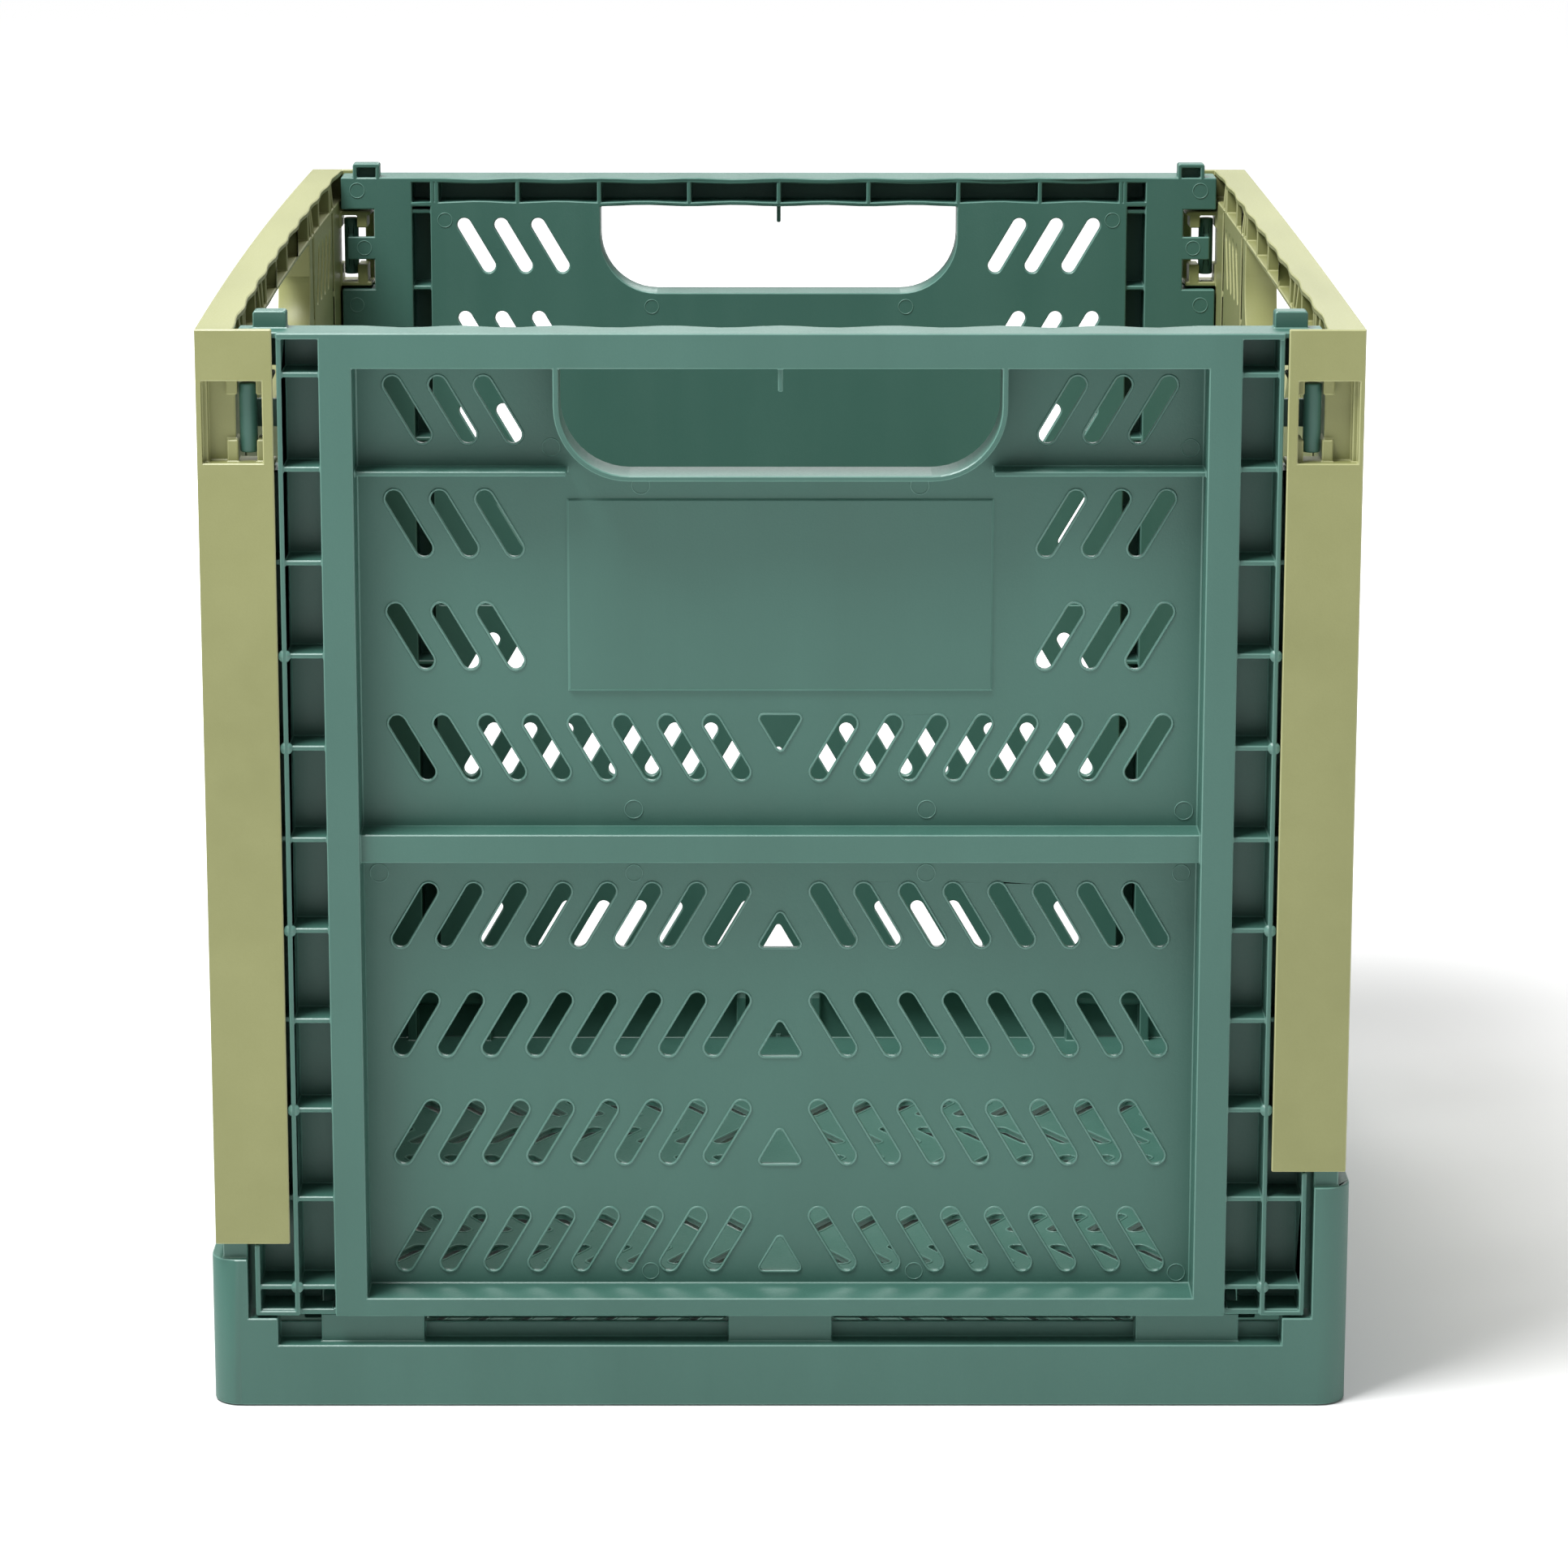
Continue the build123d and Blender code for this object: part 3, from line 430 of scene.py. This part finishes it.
# %% Put each shape on its own points
kind = start.node("GeometryNodeInputNamedAttribute", {"data_type": "INT"}, {"Name": "kind"})
turn = start.node("GeometryNodeInputNamedAttribute", {"data_type": "FLOAT_VECTOR"}, {"Name": "turn"})
turning = start.node("FunctionNodeEulerToRotation", None, {"Euler": turn})
wear = {2: 0.94, 3: 1.05, "Seed": asked("Seed")}
uneven = start.node("FunctionNodeRandomValue", {"data_type": "FLOAT"}, wear, take=1)
together = marks.nodes.new("GeometryNodeJoinGeometry")
for number, shape in ((SLOT, slot_lip), (TRIANGLE, triangle_lip), (RING, ring), (BOSS, boss)):
    equal = {"data_type": "INT", "operation": "EQUAL"}
    same = start.node("FunctionNodeCompare", equal, {2: kind, 3: number})
    picked = {"Geometry": asked("Geometry"), "Selection": same}
    chosen = start.node("GeometryNodeSeparateGeometry", {"domain": "POINT"}, picked)
    sockets = {"Points": chosen, "Instance": shape, "Rotation": turning}
    if number == RING:
        sockets["Scale"] = uneven
    copies = start.node("GeometryNodeInstanceOnPoints", None, sockets)
    marks.links.new(copies.socket, together.inputs["Geometry"])
joined = Signal(marks, together.outputs[0])
real = start.node("GeometryNodeRealizeInstances", None, {"Geometry": joined})
smooth = start.node("GeometryNodeSetShadeSmooth", None, {"Geometry": real})
finished = start.node("GeometryNodeSetMaterial", None, {"Geometry": smooth, "Material": asked("Finish")})
start.node("NodeGroupOutput", None, {"Geometry": finished})
print("the tree has", len(marks.nodes), "nodes")

# %% [markdown]
# ## Where the marks go
# The slots stand in mirrored rows. Going up from the ground, four full rows lean
# inwards and four lean outwards, and the three highest leave room for the handle and
# the label. A small triangle closes each full row on the middle line. The same rule
# serves end walls and side walls, so it gives places along the wall and up, and a
# second function turns them onto the wall's own plane.

# %% Rows of slots
SLOT_LEAN = math.radians(30.4)
SLOT_FIRST, SLOT_PITCH, ROW_PITCH = 16.4, 13.77, 34.9
UPPER_ROW, LOWER_ROW = 311.5, 153.9
TRIANGLE_RISE = 6.25
HALF_ROW = 10.4
FOOT_ROOM = 14
OUTER_PANEL = 97.6


def slot_row(up, lean, numbers, offset=0.0):
    """One mirrored row: (kind, along, up, lean) for each slot."""
    row = []
    for number in numbers:
        along = SLOT_FIRST + offset + number * SLOT_PITCH
        row.append((SLOT, along, up, lean))
        row.append((SLOT, -along, up, -lean))
    return row


def end_wall_rows():
    places = []
    for row in range(4):
        up = UPPER_ROW - row * ROW_PITCH
        places += slot_row(up, SLOT_LEAN, range(0 if row == 3 else 5, 8))
        places += slot_row(LOWER_ROW - row * ROW_PITCH, -SLOT_LEAN, range(8))
        places.append((TRIANGLE, 0, LOWER_ROW - row * ROW_PITCH - TRIANGLE_RISE, 0.0))
    places.append((TRIANGLE, 0, UPPER_ROW - 3 * ROW_PITCH + TRIANGLE_RISE, math.pi))
    return places


def side_wall_rows(wall_foot):
    """The rows of a side wall, as far down as its own foot bar allows."""
    places = []
    for row in range(8):
        upper = row < 4
        up = UPPER_ROW - row * ROW_PITCH if upper else LOWER_ROW - (row - 4) * ROW_PITCH
        if up - HALF_ROW < wall_foot + FOOT_ROOM:
            continue
        lean = SLOT_LEAN if upper else -SLOT_LEAN
        places += slot_row(up, lean, range(4), offset=OUTER_PANEL)
        if row >= 3:
            places += slot_row(up, lean, range(5))
            rise = TRIANGLE_RISE if upper else -TRIANGLE_RISE
            places.append((TRIANGLE, 0, up + rise, math.pi if upper else 0.0))
    return places


print("an end wall has", len(end_wall_rows()), "openings")

# %% Ejector marks and bosses of an end wall
def pairs(along, up):
    return [(RING, along, up, 0.0), (RING, -along, up, 0.0)]


def outer_rings():
    """Rings on the panel's outer face: beside the divider, the label and the foot."""
    rings = pairs(42.3, 288.4) + pairs(45, 187.4) + pairs(45, 167.3) + pairs(123.6, 167.3)
    rings += [(RING, 124.1, 187, 0.0), (RING, -69.4, 300, 0.0), (RING, 124.2, 299.8, 0.0)]
    rings += [(RING, -40.5, 38.8, 0.0), (RING, 42, 38.8, 0.0), (RING, 124.2, 38.3, 0.0)]
    return rings


def inner_rings():
    """Rings on the panel's inner face: near the latch, the top bar and the handle."""
    rings = pairs(157, 332.0) + pairs(154.6, 310.6) + pairs(157.7, 289.2)
    return rings + pairs(124.4, 321.0) + pairs(47.5, 288.6)


def channel_bosses():
    """Bosses where the channel's long rib meets some of its cross ribs."""
    bosses = []
    for number in (3, 4, 6, 8, 10):
        up = 324.9 - number * 28.6 - 0.75
        bosses += [(BOSS, 150.05, up, 0.0), (BOSS, -150.05, up, 0.0)]
    return bosses


print(len(outer_rings()), "rings outside,", len(inner_rings()), "inside,", len(channel_bosses()), "bosses")

# %% [markdown]
# ## Points become pieces
# A mesh of bare points carries each mark's kind and turn as attributes. The tree's
# inputs are set by their identifiers before the object is first looked at. The result
# is copied to a plain mesh and the modifier goes, so that nothing is left to compute.

# %% Turn the points into real meshes
def grow_marks(name, points, body, finish, seed, bend=None):
    """Points of (kind, place, turn) become one plain mesh that rides on a body."""
    cloud = bpy.data.meshes.new(name + "_points")
    cloud.from_pydata([place for _, place, _ in points], [], [])
    kinds = cloud.attributes.new("kind", "INT", "POINT")
    turns = cloud.attributes.new("turn", "FLOAT_VECTOR", "POINT")
    for number, (kind_number, _, euler) in enumerate(points):
        kinds.data[number].value = kind_number
        turns.data[number].vector = euler
    holder = bpy.data.objects.new(name + "_points", cloud)
    bpy.context.scene.collection.objects.link(holder)
    grower = holder.modifiers.new("marks", "NODES")
    grower.node_group = marks
    entries = [item for item in marks.interface.items_tree if item.in_out == "INPUT"]
    sockets = {item.name: item.identifier for item in entries}
    for size, value in SIZES.items():
        grower[sockets[size]] = value
    grower[sockets["Seed"]] = seed
    grower[sockets["Finish"]] = finish
    graph = bpy.context.evaluated_depsgraph_get()
    mesh = bpy.data.meshes.new_from_object(holder.evaluated_get(graph))
    holder.modifiers.clear()
    bpy.data.objects.remove(holder)
    mesh.name = name
    if bend:
        for vertex in mesh.vertices:
            vertex.co = bend(vertex.co)
    print(name, "has", len(mesh.polygons), "faces on", len(points), "points")
    return as_piece(name, mesh, (finish,), body)


def on_end(places, depth, front):
    """Turn (kind, across, up, lean) onto a plane across the crate at some depth."""
    y = (depth - 212.5) * MM if front else (212.5 - depth) * MM
    return [(k, (x * MM, y, z * MM), (math.pi / 2, lean, 0)) for k, x, z, lean in places]


def on_side(places, depth, side):
    """The same for a plane along the crate; `side` is -1 for left and 1 for right."""
    x = side * (175 - depth) * MM
    return [(k, (x, y * MM, z * MM), (math.pi / 2, lean, math.pi / 2)) for k, y, z, lean in places]


# %% Marks of the two end walls
PANEL_FACE, INNER_FACE, BOSS_DEPTH = 15.4, 17.6, 1.7
for label, front, seed in (("front_end", True, 3), ("back_end", False, 5)):
    points = on_end(end_wall_rows() + outer_rings(), PANEL_FACE, front)
    points += on_end(inner_rings(), INNER_FACE, front)
    points += on_end(channel_bosses(), BOSS_DEPTH, front)
    # The marks take the paler plastic: a painted highlight on lips, rings and bosses.
    grow_marks(label + "_marks", points, label, teal_highlight_finish, seed)

# %% Marks of the two side walls
def side_rings():
    rings = pairs(45, 187.4) + pairs(45, 167.3) + pairs(136, 187.4) + pairs(136, 167.3)
    return rings + pairs(72, 288.4)


SIDE_PANEL_FACE = 9.2
for label, side, foot in (("left_side", -1, 52.5), ("right_side", 1, 75.8)):
    node = "side_wall_left" if side < 0 else "side_wall_right"
    points = on_side(side_wall_rows(foot) + side_rings(), SIDE_PANEL_FACE, side)
    follow = lambda at, node=node: bowed(node, at)
    # The marks take the paler plastic: a painted highlight on lips and rings.
    grow_marks(label + "_marks", points, "base", olive_highlight_finish, 7, follow)

# %% [markdown]
# ## The tray's floor
# The floor is pierced by the same slanted slots, in rows that lean one way and then
# the other, and each slot gets the same lip. Only the turn differs, because the
# floor lies flat.

# %% Lips round the drain slots in the floor
FLOOR_TOP = 3.0 * MM
drains = []
for row in range(-4, 5):
    lean = SLOT_LEAN if row % 2 else -SLOT_LEAN
    for _, x, y, turned in slot_row(row * ROW_PITCH, lean, range(10)):
        drains.append((SLOT, (x * MM, y * MM, FLOOR_TOP), (0, 0, -turned)))
# The lips take the paler plastic: a painted highlight round each drain slot.
grow_marks("tray_floor_lips", drains, "base", teal_highlight_finish, 11)

# %% [markdown]
# ## Floor, light and camera
# The crate stands on plain white paper, under a soft key light above its left front
# corner and a wider one above its back, with a dim white surround that fills the
# shadows. The paper glows a little further out, so that it fades to pure white. The
# camera is far away with a long lens and looks slightly down, so the upright edges
# stay nearly parallel.

# %% The floor
floor_mesh = bpy.data.meshes.new("studio_floor")
REACH = 30.0
BELOW = -0.4 * MM
corners = [(-REACH, -REACH), (REACH, -REACH), (REACH, REACH), (-REACH, REACH)]
floor_mesh.from_pydata([(x, y, BELOW) for x, y in corners], [], [(0, 1, 2, 3)])
paper = bpy.data.materials.new("studio_paper")
paper.use_nodes = True
paper.node_tree.nodes.clear()
table = Signal(paper.node_tree)
spot = table.node("ShaderNodeTexCoord", take="Object")
away = spot.node("ShaderNodeVectorMath", {"operation": "LENGTH"}, {0: spot}, take="Value")
glow = mixed_colour(spread(away, 0.45, 1.6), (0.02, 0.02, 0.02, 1), (1, 1, 1, 1))
white = {
    "Base Color": (0.88, 0.88, 0.88, 1),
    "Roughness": 0.9,
    "Emission Color": glow,
    "Emission Strength": 0.7,
}
paper_shader = table.node("ShaderNodeBsdfPrincipled", None, white)
table.node("ShaderNodeOutputMaterial", None, {"Surface": paper_shader})
floor_mesh.materials.append(paper)
studio_floor = bpy.data.objects.new("studio_floor", floor_mesh)
bpy.context.scene.collection.objects.link(studio_floor)
print("the floor reaches", REACH, "metres")

# %% The lights
def soft_light(name, place, target, size, watts):
    """A square area light that faces a target."""
    lamp = bpy.data.lights.new(name, "AREA")
    lamp.energy = watts
    lamp.size = size
    holder = bpy.data.objects.new(name, lamp)
    holder.location = place
    holder.rotation_euler = (Vector(target) - Vector(place)).to_track_quat("-Z", "Y").to_euler()
    bpy.context.scene.collection.objects.link(holder)
    return holder


CRATE_MIDDLE = (0, 0, 0.17)
soft_light("key_softbox", (-0.75, -0.62, 2.1), CRATE_MIDDLE, 0.95, 68)
soft_light("rear_softbox", (0.2, 1.7, 1.9), CRATE_MIDDLE, 1.4, 40)
world = bpy.data.worlds.new("studio_surround")
world.use_nodes = True
world.node_tree.nodes["Background"].inputs["Color"].default_value = (1, 1, 1, 1)
world.node_tree.nodes["Background"].inputs["Strength"].default_value = 0.3
bpy.context.scene.world = world
bpy.context.scene.view_settings.view_transform = "Standard"

# %% The camera
lens = bpy.data.cameras.new("studio_camera")
lens.lens = 123.62
lens.sensor_width = 36
camera = bpy.data.objects.new("studio_camera", lens)
camera.location = (-0.0027, -1.8083, 0.5654)
camera.rotation_euler = [math.radians(a) for a in (77.067, -0.037, -0.129)]
bpy.context.scene.collection.objects.link(camera)
bpy.context.scene.camera = camera
print("camera is", round((camera.location - Vector(CRATE_MIDDLE)).length, 3), "metres away")
